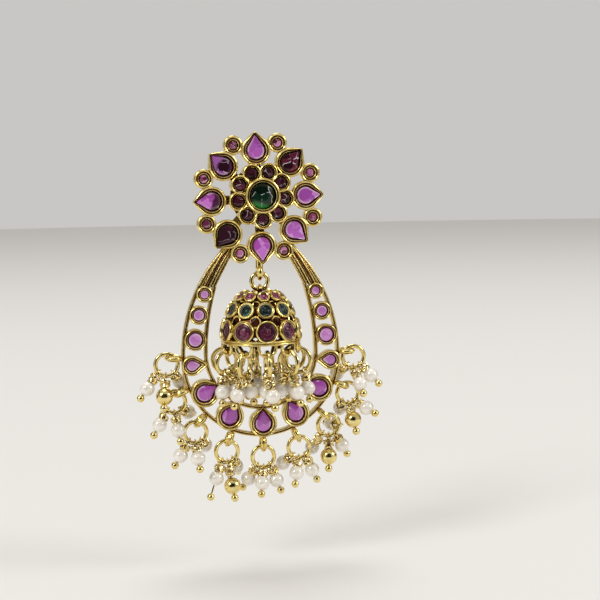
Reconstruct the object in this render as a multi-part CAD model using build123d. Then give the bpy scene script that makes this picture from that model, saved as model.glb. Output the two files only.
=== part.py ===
"""Jhumka earring: a gem-set rosette with an ear post, a crescent hoop below it with nine
pearl drops, and an openwork bell (the jhumka) that hangs free inside the hoop.

Millimetres. +Z is up, the stones face -Y and the ear post points along +Y. The origin is
the root of the ear post, behind the middle of the rosette.
"""

from build123d import *
import os
from math import asin, cos, degrees, radians, sin, sqrt

# ---- Driving dimensions -------------------------------------------------------------

fit_gap = 0.05  # clear space round a set stone, and inside a bored bead
hang_gap = 0.08  # clear space where one hanging piece rests on another

# Ear post, with the small pad that carries it
post_r = 0.45
post_length = 10.0
pad_r = 2.5
pad_thickness = 0.5

# Settings: a collet is a closed cup with a rounded lip, and its stone sits in the cup
cup_floor = 0.9
lip_round = 0.28
lip_flare = 0.2
tip_round = 0.4
tip_inset_share = 0.45  # of a pear outline's inset, left off at its point
stone_recess = 0.25
stone_bevel = 0.32
stone_bevel_drop = 0.3
dome_recess = 0.1
dome_share = 0.35  # a dome's rise as a share of its radius
mouth_taper = -40

# Rosette
rosette_turn = 2.5
centre_collet_r = 3.45
centre_stone_r = 2.65
centre_height = 5.0
petals = 9
petal_pitch_r = 4.75
petal_collet_r = 1.85
petal_stone_r = 1.22
petal_height = 3.5
flower_shift = (0.4, 0.5)  # the middle flower was soldered on a little right and high
rosette_disc_r = 5.9
rosette_disc_thickness = 0.8
rosette_pears = 8
rosette_pear_width = 5.7
rosette_pear_length = 6.6
rosette_pear_tip_r = 13.2
rosette_pear_lip = 0.8
rosette_pear_height = 2.5
rosette_round_pitch_r = 11.6
rosette_round_collet_r = 1.86
rosette_round_stone_r = 1.0
rosette_round_height = 2.2
solder_tab_width = 1.8
solder_tab_r = 7.6

# Crescent hoop: each edge is a half circle below and a wide arc up each side
hoop_outer = {"half_width": 16.15, "side_arc_r": 31.7, "centre_z": -31.85}
hoop_inner = {"half_width": 10.85, "side_arc_r": 44.7, "centre_z": -30.85}
rail_width = 0.75
rail_height = 1.4
# Above the first round settings the inner edge runs straighter, to the rosette
arm_inner = {"half_width": 20.15, "side_arc_r": 105.0, "centre_z": -64.6}
arm_top_z = -9.3
arm_bottom_z = -17.4
arm_plate_height = 0.8
arm_rib_width = 0.5
arm_rib_shares = (0.36, 0.64)  # of the way from the outer to the inner edge
hoop_collet_height = 2.1
hoop_pear_width = 5.5
hoop_pear_length = 6.1
hoop_pear_end_r = 16.25
hoop_pear_lip = 0.85
hoop_pear_angles = (-150, -120, -90, -60, -30)
side_pear_width = 3.9
side_pear_length = 5.3
side_pear_end_r = 16.1
side_pear_lip = 0.75
side_pear_angles = (-175.5, -4.5)

# Round settings up each side of the hoop
# (height, collet radius, stone radius)
hoop_rounds = (
    (-18.8, 1.60, 0.95),
    (-22.9, 1.85, 1.25),
    (-27.8, 2.15, 1.60),
)

# Everything that hangs lies in one plane, half way through the hoop's thickness
hang_height = 1.0
hang_y = -pad_thickness - hang_height

# Neck and loop under the rosette, and the jump ring that carries the bell
neck_r = 0.75
neck_top_z = -12.3
neck_bottom_z = -13.9
loop_r = 1.1
loop_wire_r = 0.5
loop_z = -14.85
jump_ring_r = 1.65
jump_ring_wire_r = 0.45

# Eyes round the hoop, and the ring in each eye
drop_angles = (-181.5, -158.6, -135.7, -112.9, -90, -67.1, -44.3, -21.4, 1.5)
eye_pitch_r = 17.6
eye_r = 1.5
eye_wire_r = 0.38
drop_ring_r = 2.225
ring_wire_r = 0.425

# Beads and head pins
pearl_r = 1.5
gold_bead_r = 1.72
bead_bore_r = 0.25
pin_wire_r = 0.19
pin_loop_r = 0.95
pin_wrap_r = 0.42
pin_ball_r = 0.78

# Bell: its side is a wide arc from the rim and a closer one to the flat crown
bell_r = 7.45
bell_side_arc_r = 15.0
bell_arc_turn = 28
bell_top_arc_r = 7.5
bell_wall = 0.7
bell_rim_z = -28.8
crown_rise = 9.9
crown_thickness = 0.9
crown_loop_r = 0.95
crown_loop_wire_r = 0.3
rim_band_height = 0.95
rim_band_depth = 1.1
rim_stand = 0.4
rim_bead_r = 0.24
columns = 10
column_step = 360 / columns
bell_collet_stand = 0.55
bell_stone_stand = 0.45
bell_cup_floor = 0.12
bell_collet_root = -0.55
bell_lip_round = 0.22
bell_dome_share = 0.3

# Rows of settings on the bell
# (rise above the rim, collet radius, stone radius)
bell_rows = {
    "lower": (2.65, 2.2, 1.6),
    "middle": (6.65, 1.72, 1.22),
    "upper": (9.1, 1.25, 0.85),
}

# Diamond-shaped windows between the columns
# (rise above the rim, width, height)
bell_windows = (
    (1.35, 1.2, 0.7),
    (4.6, 1.8, 2.0),
    (7.9, 1.2, 1.2),
)

scallop_r = 1.7
scallop_wire_r = 0.32
scallop_leg = 0.4
bell_ring_r = 2.45
bell_ring_pitch_r = 7.5

# ---- Small helpers ------------------------------------------------------------------

back_plane = Plane.XZ.offset(pad_thickness)


def slab(face, low, high, taper=0):
    """A flat outline, drawn as seen from the front, between two heights above the back."""
    return extrude(back_plane.offset(low) * face, high - low, taper=taper)


def polar(radius, angle):
    return radius * cos(radians(angle)), radius * sin(radians(angle))


def spin(angle):
    """A turn seen from the front, anticlockwise."""
    return Rot(0, -angle, 0)


def ring(radius, wire_r):
    """A round ring in the X-Z plane."""
    return Rot(90, 0, 0) * Torus(radius, wire_r)


def save(name, shapes):
    solids = [solid for shape in shapes for solid in shape.solids()]
    shape = solids[0] if len(solids) == 1 else Compound(children=solids)
    export_step(shape, f"parts/{name}.step")


# ---- Settings and stones ------------------------------------------------------------


def round_outline(radius, inset=0.0):
    return Circle(radius - inset)


def pear_outline(width, length, inset=0.0):
    """A drop outline about the middle of its round end, with its point along +Y."""
    end_r = width / 2 - inset
    tip = length - width / 2 - tip_inset_share * inset
    half_angle = asin(end_r / tip)
    x, y = end_r * cos(half_angle), end_r * sin(half_angle)
    edges = ThreePointArc((x, y), (0, -end_r), (-x, y))
    edges += Line((-x, y), (0, tip))
    edges += Line((0, tip), (x, y))
    face = make_face(edges)
    return fillet(face.vertices().sort_by(Axis.Y)[-1], tip_round * 2 * end_r / width)


def collet_body(outline, height):
    body = slab(outline, 0, height)
    return fillet(body.faces().sort_by(Axis.Y)[0].edges(), lip_round)


def cup(outline, height):
    """The hollow of a collet, wider at its mouth."""
    straight = slab(outline, cup_floor, height + 1)
    mouth = slab(outline, height - lip_flare, height + lip_flare, taper=mouth_taper)
    return straight + mouth


def flat_stone(outline, size, inset, height):
    """A flat-topped stone with a bevelled edge."""
    top = height - stone_recess
    girdle = slab(outline(*size, inset), cup_floor + fit_gap, top - stone_bevel_drop)
    edge = back_plane.offset(top - stone_bevel_drop) * outline(*size, inset)
    table = back_plane.offset(top) * outline(*size, inset + stone_bevel)
    return girdle + loft([edge, table])


def dome_ball_r(radius, share):
    """The radius of the ball that a domed stone's top is part of."""
    rise = share * radius
    return (radius**2 + rise**2) / (2 * rise)


def domed_stone(radius, low, high):
    """A low round cabochon along -Y, between two heights above the back."""
    ball_r = dome_ball_r(radius, dome_share)
    ball = Pos(0, -pad_thickness - high + ball_r, 0) * Sphere(ball_r)
    return slab(Circle(radius), low, high) & ball


class Setting:
    """One kind of collet with its hollow and its stone, about its own middle."""

    def __init__(self, outline, size, lip, height, domed):
        self.body = collet_body(outline(*size), height)
        self.hollow = cup(outline(*size, lip), height)
        if domed:
            radius = size[0] - lip - fit_gap
            self.stone = domed_stone(radius, cup_floor + fit_gap, height - dome_recess)
        else:
            self.stone = flat_stone(outline, size, lip + fit_gap, height)


def place(radius, angle, point_angle, centre_z=0.0):
    """A place at a radius and angle, with the setting's point turned to point_angle."""
    x, z = polar(radius, angle)
    return Pos(x, 0, z + centre_z) * spin(point_angle - 90)


# ---- Rosette ------------------------------------------------------------------------


def rosette_places():
    x, z = flower_shift
    flower = Pos(x, 0, z)
    pear_r = rosette_pear_tip_r - rosette_pear_length + rosette_pear_width / 2
    step = 360 / rosette_pears
    turns = [90 + rosette_turn - step * i for i in range(rosette_pears)]
    pears = [place(pear_r, a, a) for a in turns]
    rounds = [place(rosette_round_pitch_r, a - step / 2, 90) for a in turns]
    petal_turns = [-90 + rosette_turn + 360 / petals * i for i in range(petals)]
    petal_places = [flower * place(petal_pitch_r, a, 90) for a in petal_turns]
    return turns, pears, rounds, petal_places, [flower]


def rosette_base(turns):
    """The disc behind the petals, and a solder tab from it to each pear setting."""
    disc = slab(Pos(*flower_shift) * Circle(rosette_disc_r), 0, rosette_disc_thickness)
    tab = slab(
        Pos(0, solder_tab_r / 2) * Rectangle(solder_tab_width, solder_tab_r),
        0,
        rosette_disc_thickness,
    )
    return [disc] + [spin(a - 90) * tab for a in turns]


# ---- Crescent hoop ------------------------------------------------------------------


def hoop_half_width(edge, z):
    """Half the width of one hoop edge at a height above its widest place."""
    rise = z - edge["centre_z"]
    return edge["half_width"] - edge["side_arc_r"] + sqrt(edge["side_arc_r"] ** 2 - rise**2)


def hoop_face(edge, grow=0.0):
    """The outline of one hoop edge, closed across the top, grown or shrunk evenly."""
    wide = edge["half_width"] + grow
    arc_r = edge["side_arc_r"] + grow
    low = edge["centre_z"]
    rise = arm_top_z - low
    middle = 0.5 * asin(rise / arc_r)
    top_x = wide - arc_r + sqrt(arc_r**2 - rise**2)
    bend = (wide - arc_r + arc_r * cos(middle), low + arc_r * sin(middle))
    edges = ThreePointArc((-wide, low), (0, low - wide), (wide, low))
    edges += ThreePointArc((wide, low), bend, (top_x, arm_top_z))
    edges += Line((top_x, arm_top_z), (-top_x, arm_top_z))
    edges += ThreePointArc((-top_x, arm_top_z), (-bend[0], bend[1]), (-wide, low))
    return make_face(edges)


def arm_between(share):
    """An edge of the arms part of the way from the outer to the inner one."""
    return {k: hoop_outer[k] + share * (arm_inner[k] - hoop_outer[k]) for k in hoop_outer}


def arm_window():
    """The stretch of height that the arms fill."""
    middle_z = (arm_top_z + arm_bottom_z) / 2
    return Pos(0, middle_z) * Rectangle(2 * hoop_outer["half_width"], arm_top_z - arm_bottom_z)


def hoop_rails():
    outer = hoop_face(hoop_outer) - hoop_face(hoop_outer, -rail_width)
    inner = hoop_face(hoop_inner, rail_width) - hoop_face(hoop_inner) - arm_window()
    return [slab(outer, 0, rail_height), slab(inner, 0, rail_height)]


def hoop_arms():
    """The two ribbed plates between the rosette and the first round settings."""
    band = (hoop_face(hoop_outer) - hoop_face(arm_inner)) & arm_window()
    rim = (hoop_face(arm_inner, rail_width) - hoop_face(arm_inner)) & arm_window()
    shapes = [slab(band, 0, arm_plate_height), slab(rim, 0, rail_height)]
    for share in arm_rib_shares:
        edge = arm_between(share)
        rib = hoop_face(edge, arm_rib_width / 2) - hoop_face(edge, -arm_rib_width / 2)
        shapes.append(slab(rib & arm_window(), 0, rail_height))
    return shapes


def hoop_places():
    low = hoop_outer["centre_z"]
    pear_r = hoop_pear_end_r - hoop_pear_width / 2
    side_r = side_pear_end_r - side_pear_width / 2
    pears = [place(pear_r, a, a + 180, low) for a in hoop_pear_angles]
    side_pears = [place(side_r, a, a + 180, low) for a in side_pear_angles]
    return pears, side_pears


def round_places(z):
    x = (hoop_half_width(hoop_outer, z) + hoop_half_width(hoop_inner, z)) / 2
    return [Pos(-x, 0, z), Pos(x, 0, z)]


def drop_eye(angle):
    """A wire eye that stands out from the hoop, in the plane of its radius and Y."""
    x, z = polar(eye_pitch_r, angle)
    eye = Torus(eye_r, eye_wire_r)
    return Pos(x, hang_y, z + hoop_outer["centre_z"]) * spin(angle) * eye


# ---- Beads on head pins -------------------------------------------------------------


def head_pin(tube_point, tangent, bead_centre, bead_r, tail=0.0):
    """A pin looped over a ring's wire, wrapped, run through a bead and ended in a ball."""
    reach = bead_centre - tube_point
    along = reach.normalized()
    side = (tangent - along * tangent.dot(along)).normalized()
    here = Plane(origin=tube_point, x_dir=side, z_dir=along)
    loop_at = pin_loop_r - pin_wire_r - ring_wire_r - hang_gap
    wrap_from = loop_at + pin_loop_r - pin_wire_r / 2
    wrap_to = reach.length - bead_r - hang_gap
    ball_at = reach.length + bead_r + tail + pin_ball_r
    loop = Pos(0, 0, loop_at) * Rot(0, 90, 0) * Torus(pin_loop_r, pin_wire_r)
    wrap_length = wrap_to - wrap_from
    wrap = Pos(0, 0, wrap_from + wrap_length / 2) * Cylinder(pin_wrap_r, wrap_length)
    wire_length = ball_at - wrap_from
    wire = Pos(0, 0, wrap_from + wire_length / 2) * Cylinder(pin_wire_r, wire_length)
    ball = Pos(0, 0, ball_at) * Sphere(pin_ball_r)
    return here * (loop + [wrap, wire, ball])


def bead(tube_point, bead_centre, bead_r):
    along = (bead_centre - tube_point).normalized()
    here = Plane(origin=bead_centre, z_dir=along)
    return here * (Sphere(bead_r) - Cylinder(bead_bore_r, 3 * bead_r))


# Beads of the nine drops, each row one bead and its pin, measured from its ring's middle
# (drop, kind, place on the ring from its lowest point in degrees, right, back, up, tail)
drop_beads = (
    (1, "pearl", -50, -4.0, -0.5, -4.5, 0.0),
    (1, "gold", -8, -0.8, -2.4, -5.9, 0.0),
    (1, "pearl", 38, 2.7, 2.2, -3.7, 0.0),
    (2, "pearl", -40, -3.1, -0.6, -4.4, 0.0),
    (2, "pearl", 0, 0.5, -1.6, -5.5, 0.0),
    (2, "pearl", 40, 3.0, 2.5, -2.6, 0.0),
    (3, "pearl", -40, -3.1, 0.2, -4.6, 0.0),
    (3, "pearl", -2, 0.2, -1.6, -5.0, 0.0),
    (3, "pearl", 40, 2.2, 2.6, -3.2, 0.0),
    (4, "pearl", -30, -2.3, -0.4, -5.3, 1.6),
    (4, "gold", 4, 0.9, -0.6, -7.0, 0.0),
    (4, "pearl", 40, 2.2, 2.4, -3.7, 0.0),
    (5, "pearl", -38, -3.0, 1.1, -4.6, 0.0),
    (5, "pearl", -2, -0.6, -1.5, -5.1, 0.0),
    (5, "pearl", 36, 2.6, -0.1, -5.0, 0.0),
    (6, "pearl", -40, -3.0, 2.1, -3.5, 0.0),
    (6, "pearl", -5, -0.8, -0.9, -5.1, 0.0),
    (6, "pearl", 34, 2.7, 0.2, -4.9, 0.0),
    (7, "pearl", -38, -3.0, 2.4, -4.9, 0.0),
    (7, "gold", 0, -0.2, -0.6, -6.4, 0.0),
    (7, "pearl", 36, 2.9, 0.6, -4.5, 0.0),
    (7, "pearl", 88, 1.3, 3.0, -0.3, 0.0),
    (8, "pearl", 42, 3.4, -2.2, -2.9, 0.0),
    (8, "gold", 6, 0.9, -0.7, -5.4, 0.0),
    (8, "pearl", -38, -1.0, 2.6, -3.4, 0.0),
    (9, "pearl", 42, 3.3, -1.6, -3.8, 0.0),
    (9, "pearl", 2, 0.7, -2.5, -5.3, 0.0),
    (9, "pearl", -40, -2.8, 3.0, -3.7, 0.0),
)

# Beads under the bell, each row one bead and its pin, the same on the left and the right
# (column from the front in degrees, place on the ring from its lowest point in degrees
#  outward, out from the bell's axis, round towards the front, height)
bell_beads = (
    (0, 20, 9.0, -0.6, -38.6),
    (0, -22, 5.9, 0.0, -38.1),
    (36, 20, 8.8, -1.0, -38.4),
    (36, -25, 5.6, 0.4, -38.0),
    (72, 32, 9.5, 1.4, -38.0),
    (72, -12, 6.2, 0.9, -37.9),
    (108, -4, 6.5, -1.6, -37.7),
    (108, -28, 4.0, 0.5, -37.9),
    (144, 18, 8.6, 0.2, -38.2),
    (144, -22, 5.4, -0.5, -38.0),
    (180, 20, 8.9, 1.0, -38.2),
    (180, -25, 5.9, 0.0, -38.3),
)


def drop_ring_centres():
    """Each ring hangs inside its eye, on the eye's outermost wire."""
    fall = drop_ring_r - ring_wire_r - eye_wire_r - hang_gap
    centres = []
    for angle in drop_angles:
        x, z = polar(eye_pitch_r + eye_r, angle)
        centres.append(Vector(x, hang_y, z + hoop_outer["centre_z"] - fall))
    return centres


def frame_drops():
    centres = drop_ring_centres()
    pearls = {i + 1: [] for i in range(len(centres))}
    gold, pins = [], []
    for drop, kind, at, right, back, up, tail in drop_beads:
        centre = centres[drop - 1]
        across, down = sin(radians(at)), cos(radians(at))
        tube = centre + Vector(across, 0, -down) * drop_ring_r
        middle = centre + Vector(right, back, up)
        radius = pearl_r if kind == "pearl" else gold_bead_r
        pins.append(head_pin(tube, Vector(down, 0, across), middle, radius, tail))
        (pearls[drop] if kind == "pearl" else gold).append(bead(tube, middle, radius))
    for i, centre in enumerate(centres):
        save(f"drop_ring_{i + 1}", [Pos(centre) * ring(drop_ring_r, ring_wire_r)])
        save(f"drop_pearls_{i + 1}", pearls[i + 1])
    save("drop_gold_beads", gold)
    save("drop_pins", pins)


# ---- Bell ---------------------------------------------------------------------------


def bell_arcs():
    """Middle and radius of the two arcs of the bell's side: the lower and the upper."""
    turn = radians(bell_arc_turn)
    low_x = bell_r - bell_side_arc_r
    shift = bell_side_arc_r - bell_top_arc_r
    return (low_x, 0.0), (low_x + shift * cos(turn), shift * sin(turn))


def bell_slope(rise):
    """The angle above level at which the bell's side faces, at a height above the rim."""
    _, (_, top_z) = bell_arcs()
    if rise < bell_side_arc_r * sin(radians(bell_arc_turn)):
        return degrees(asin(rise / bell_side_arc_r))
    return degrees(asin((rise - top_z) / bell_top_arc_r))


def bell_side(slope, inset=0.0):
    """A point of the bell's section, radius and rise, where its side faces at a slope."""
    low, top = bell_arcs()
    (x, z), arc_r = (low, bell_side_arc_r) if slope <= bell_arc_turn else (top, bell_top_arc_r)
    out, up = polar(arc_r - inset, slope)
    return x + out, z + up


def on_bell(rise, column):
    """The frame on the bell's surface whose Z points straight out, in one column."""
    slope = bell_slope(rise)
    radius, _ = bell_side(slope)
    out, up = polar(1, slope)
    here = Plane(origin=(0, -radius, rise), x_dir=(1, 0, 0), z_dir=(0, -out, up))
    return Pos(0, hang_y, bell_rim_z) * Rot(0, 0, column) * here.location


def bell_edge(inset):
    """One side of the wall's section, in two arcs from the rim to the crown."""
    crown_slope = bell_slope(crown_rise)
    start, bend, end = (bell_side(a, inset) for a in (0, bell_arc_turn, crown_slope))
    low_middle = bell_side(bell_arc_turn / 2, inset)
    top_middle = bell_side((bell_arc_turn + crown_slope) / 2, inset)
    return ThreePointArc(start, low_middle, bend) + ThreePointArc(bend, top_middle, end)


def bell_shell():
    """Wall, crown and double-beaded rim band, turned from one section."""
    crown_slope = bell_slope(crown_rise)
    edges = bell_edge(0) + bell_edge(bell_wall)
    edges += Line(bell_side(0), bell_side(0, bell_wall))
    edges += Line(bell_side(crown_slope), bell_side(crown_slope, bell_wall))
    crown_r, _ = bell_side(crown_slope)
    crown_at = Pos(crown_r / 2, crown_rise - crown_thickness / 2)
    crown = crown_at * Rectangle(crown_r, crown_thickness)
    band_at = Pos(bell_r - rim_band_depth / 2 + rim_stand, rim_band_height / 2)
    section = make_face(edges) + crown + band_at * Rectangle(rim_band_depth, rim_band_height)
    for z in (rim_bead_r, rim_band_height - rim_bead_r):
        section += Pos(bell_r + rim_stand, z) * Circle(rim_bead_r)
    shell = revolve(Plane.XZ * section, Axis.Z, 360)
    return Pos(0, hang_y, bell_rim_z) * shell


def bell_setting(collet_r, stone_r):
    """A collet standing on the bell, its hollow and its stone, about its own middle."""
    height = bell_collet_stand - bell_collet_root
    body = Pos(0, 0, bell_collet_root + height / 2) * Cylinder(collet_r, height)
    body = fillet(body.edges().sort_by(Axis.Z)[-1], bell_lip_round)
    depth = bell_collet_stand - bell_cup_floor + 1
    hollow = Pos(0, 0, bell_cup_floor + depth / 2) * Cylinder(stone_r + fit_gap, depth)
    low = bell_cup_floor + fit_gap
    middle = (low + bell_stone_stand) / 2
    stone = Pos(0, 0, middle) * Cylinder(stone_r, bell_stone_stand - low)
    ball_r = dome_ball_r(stone_r, bell_dome_share)
    return body, hollow, stone & Pos(0, 0, bell_stone_stand - ball_r) * Sphere(ball_r)


def scallop():
    """A hanging U of wire, in the X-Z plane, its legs sunk in the rim band."""
    leg_length = scallop_leg + rim_band_height / 2
    half_ring = Torus(scallop_r, scallop_wire_r, major_angle=180, align=None)
    bow = Pos(0, 0, -scallop_leg) * Rot(-90, 0, 0) * half_ring
    leg = Pos(0, 0, leg_length / 2 - scallop_leg) * Cylinder(scallop_wire_r, leg_length)
    return [bow, Pos(scallop_r, 0, 0) * leg, Pos(-scallop_r, 0, 0) * leg]


def column_turns():
    return [column_step * i for i in range(columns)]


def bell_rings():
    """Each ring hangs on the bottom wire of its scallop, in a plane through the axis."""
    wire_z = bell_rim_z - scallop_leg - scallop_r
    fall = bell_ring_r - ring_wire_r - scallop_wire_r - hang_gap
    middle = Pos(0, -bell_ring_pitch_r, wire_z - fall)
    loose_ring = Rot(0, 90, 0) * Torus(bell_ring_r, ring_wire_r)
    return [Pos(0, hang_y, 0) * Rot(0, 0, turn) * middle * loose_ring for turn in column_turns()]


def bell_clusters():
    wire_z = bell_rim_z - scallop_leg - scallop_r
    ring_z = wire_z - (bell_ring_r - ring_wire_r - scallop_wire_r - hang_gap)
    axis = Vector(0, hang_y, 0)
    pearls, pins = [], []
    for column, at, out, forward, z in bell_beads:
        for hand in (1,) if column in (0, 180) else (1, -1):
            away = Vector(hand * sin(radians(column)), -cos(radians(column)), 0)
            ahead = Vector(-hand * cos(radians(column)), -sin(radians(column)), 0)
            lean, down = sin(radians(at)), cos(radians(at))
            tube = axis + away * (bell_ring_pitch_r + bell_ring_r * lean)
            tube = tube + Vector(0, 0, ring_z - bell_ring_r * down)
            tangent = away * down + Vector(0, 0, lean)
            middle = axis + away * out + ahead * forward + Vector(0, 0, z)
            pins.append(head_pin(tube, tangent, middle, pearl_r))
            pearls.append(bead(tube, middle, pearl_r))
    return pearls, pins


# ---- Pieces -------------------------------------------------------------------------


def build_top():
    """The soldered rosette and hoop, its stones and the ear post."""
    turns, pears, rounds, petal_places, centre_places = rosette_places()
    hoop_pears, side_pears = hoop_places()
    centre = Setting(
        round_outline,
        (centre_collet_r,),
        centre_collet_r - centre_stone_r,
        centre_height,
        True,
    )
    petal = Setting(
        round_outline,
        (petal_collet_r,),
        petal_collet_r - petal_stone_r,
        petal_height,
        True,
    )
    pear = Setting(
        pear_outline,
        (rosette_pear_width, rosette_pear_length),
        rosette_pear_lip,
        rosette_pear_height,
        False,
    )
    small = Setting(
        round_outline,
        (rosette_round_collet_r,),
        rosette_round_collet_r - rosette_round_stone_r,
        rosette_round_height,
        True,
    )
    hoop_pear = Setting(
        pear_outline,
        (hoop_pear_width, hoop_pear_length),
        hoop_pear_lip,
        hoop_collet_height,
        False,
    )
    side_pear = Setting(
        pear_outline,
        (side_pear_width, side_pear_length),
        side_pear_lip,
        hoop_collet_height,
        False,
    )
    groups = [
        ("centre_stone", centre, centre_places),
        ("petal_stones", petal, petal_places),
        ("rosette_pear_stone", pear, pears),
        ("rosette_round_stones", small, rounds),
        ("hoop_pear_stone", hoop_pear, hoop_pears),
        ("hoop_side_pear_stones", side_pear, side_pears),
    ]
    hoop_round_stones = []
    for z, collet_r, stone_r in hoop_rounds:
        kind = Setting(round_outline, (collet_r,), collet_r - stone_r, hoop_collet_height, True)
        groups.append(("hoop_round_stones", kind, round_places(z)))

    neck_length = neck_top_z - neck_bottom_z
    neck = Pos(0, hang_y, (neck_top_z + neck_bottom_z) / 2) * Cylinder(neck_r, neck_length)
    loop = Pos(0, hang_y, loop_z) * Rot(0, 90, 0) * Torus(loop_r, loop_wire_r)
    metal = [*rosette_base(turns), *hoop_rails(), *hoop_arms(), neck, loop]
    metal += [drop_eye(angle) for angle in drop_angles]
    metal += [at * kind.body for _, kind, places in groups for at in places]
    hollows = [at * kind.hollow for _, kind, places in groups for at in places]
    frame = metal[0].fuse(*metal[1:]).cut(*hollows)
    save("rosette_and_hoop", [frame])

    for name, kind, places in groups:
        stones = [at * kind.stone for at in places]
        if name == "hoop_round_stones":
            hoop_round_stones += stones
        elif name.endswith("_stone") and len(stones) > 1:
            for i, stone in enumerate(stones):
                save(f"{name}_{i + 1}", [stone])
        else:
            save(name, stones)
    save("hoop_round_stones", hoop_round_stones)

    pad = Pos(0, -pad_thickness / 2, 0) * Rot(90, 0, 0) * Cylinder(pad_r, pad_thickness)
    post = Pos(0, post_length / 2, 0) * Rot(90, 0, 0) * Cylinder(post_r, post_length)
    save("ear_post", [pad + post])


def build_jump_ring():
    wire_z = loop_z - loop_r
    fall = jump_ring_r - jump_ring_wire_r - loop_wire_r - hang_gap
    centre_z = wire_z - fall
    save("jump_ring", [Pos(0, hang_y, centre_z) * ring(jump_ring_r, jump_ring_wire_r)])
    return centre_z - jump_ring_r


def build_bell(jump_ring_low_z):
    """The bell on the jump ring, its stones, its rings and its pearls."""
    crown_wire_z = jump_ring_low_z + jump_ring_wire_r + crown_loop_wire_r + hang_gap
    crown_loop = (
        Pos(0, hang_y, crown_wire_z - crown_loop_r)
        * Rot(0, 90, 0)
        * Torus(crown_loop_r, crown_loop_wire_r)
    )
    hollows, stones = [], {}
    metal = [bell_shell(), crown_loop]
    for row, (rise, collet_r, stone_r) in bell_rows.items():
        body, hollow, stone = bell_setting(collet_r, stone_r)
        places = [on_bell(rise, turn) for turn in column_turns()]
        metal += [at * body for at in places]
        hollows += [at * hollow for at in places]
        stones[row] = [at * stone for at in places]
    for rise, width, height in bell_windows:
        corners = [(-width / 2, 0), (0, -height / 2), (width / 2, 0), (0, height / 2)]
        window = extrude(make_face(Polyline(*corners, close=True)), 2, both=True)
        hollows += [on_bell(rise, turn + column_step / 2) * window for turn in column_turns()]
    rim_wire = Pos(0, -bell_ring_pitch_r, 0)
    for turn in column_turns():
        at = Pos(0, hang_y, bell_rim_z) * Rot(0, 0, turn) * rim_wire
        metal += [at * piece for piece in scallop()]
    save("bell", [metal[0].fuse(*metal[1:]).cut(*hollows)])
    for row, shapes in stones.items():
        save(f"bell_{row}_stones", shapes)
    for i, loose_ring in enumerate(bell_rings()):
        save(f"bell_ring_{i + 1}", [loose_ring])
    pearls, pins = bell_clusters()
    save("bell_pearls", pearls)
    save("bell_pins", pins)


os.makedirs("parts", exist_ok=True)
build_top()
frame_drops()
build_bell(build_jump_ring())
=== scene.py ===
"""Jhumka earring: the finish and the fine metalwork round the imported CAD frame."""

import random
from math import asin, cos, pi, radians, sin, sqrt, tan

import bmesh
import bpy
from bpy.props import FloatProperty, FloatVectorProperty, PointerProperty, StringProperty
from mathutils import Matrix, Vector


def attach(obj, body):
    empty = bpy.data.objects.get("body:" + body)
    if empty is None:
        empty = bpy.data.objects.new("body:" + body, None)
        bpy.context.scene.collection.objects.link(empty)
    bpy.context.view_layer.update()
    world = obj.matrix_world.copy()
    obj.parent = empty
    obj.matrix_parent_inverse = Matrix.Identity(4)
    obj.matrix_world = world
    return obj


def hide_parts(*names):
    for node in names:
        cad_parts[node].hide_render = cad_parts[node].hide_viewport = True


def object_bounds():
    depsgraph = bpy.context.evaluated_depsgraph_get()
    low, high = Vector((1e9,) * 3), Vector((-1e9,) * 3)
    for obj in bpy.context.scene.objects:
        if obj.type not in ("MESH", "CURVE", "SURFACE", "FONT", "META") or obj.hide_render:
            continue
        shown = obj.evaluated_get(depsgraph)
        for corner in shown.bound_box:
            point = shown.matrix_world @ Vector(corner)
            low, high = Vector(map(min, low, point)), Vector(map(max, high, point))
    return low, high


bl_info = {
    "name": "Jhumka Earring",
    "version": (1, 0, 0),
    "blender": (4, 5, 0),
    "location": "View3D > Sidebar > Earring",
    "description": "Settings, glass stones, pearls and wirework of a temple-style jhumka earring",
    "category": "Object",
}

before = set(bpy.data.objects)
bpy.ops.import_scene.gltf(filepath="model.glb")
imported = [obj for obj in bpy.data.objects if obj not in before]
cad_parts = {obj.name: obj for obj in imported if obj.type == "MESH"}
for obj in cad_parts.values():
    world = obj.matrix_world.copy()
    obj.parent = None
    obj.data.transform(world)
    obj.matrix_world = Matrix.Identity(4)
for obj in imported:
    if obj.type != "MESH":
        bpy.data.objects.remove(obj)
cad_low, cad_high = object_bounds()

MM = 0.001
TOP = "earring_top"
BELL = "bell"


# ---- Sizes, colours and stage ----


def distance(name, description, default, **limits):
    return FloatProperty(
        name=name, description=description, default=default,
        subtype="DISTANCE", unit="LENGTH", **limits,
    )


def hex_colour(name, description, default):
    return StringProperty(name=name, description=f"{description}, sRGB hex", default=default)


class EarringSizes(bpy.types.PropertyGroup):
    pin_wire: distance("Pin wire", "Thickness of the head pins' wire", 0.38 * MM, min=0.1 * MM)
    ball: distance("Pin ball", "Radius of the ball that ends a head pin", 0.78 * MM, min=0.1 * MM)
    pearl: distance("Pearl", "Radius of the imitation pearls", 1.5 * MM, min=0.5 * MM)
    gold_bead: distance("Gold bead", "Radius of the hollow gold beads", 1.72 * MM, min=0.5 * MM)
    wrap_turns: FloatProperty(
        name="Wrap turns", description="Most turns of wire wrapped under each pin's loop",
        default=3.5, min=1.0, max=8.0,
    )


class EarringColours(bpy.types.PropertyGroup):
    gold: hex_colour("Gold", "Antique gold plate", "F3E094")
    # Gold shade and gold recess tint the places that the gold's occlusion finds enclosed: oxide, and
    # painted shade
    gold_shade: hex_colour("Gold shade", "Half-rubbed oxide beside the recesses", "A4803A")
    gold_recess: hex_colour("Gold recess", "Oxide left in the recesses", "4A2E12")
    wall: hex_colour("Bell wall", "Brown-red stain on the bell's wall", "50281C")
    pearl: hex_colour("Pearl", "Nacre lacquer of the pearls", "F1EBE0")


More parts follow.
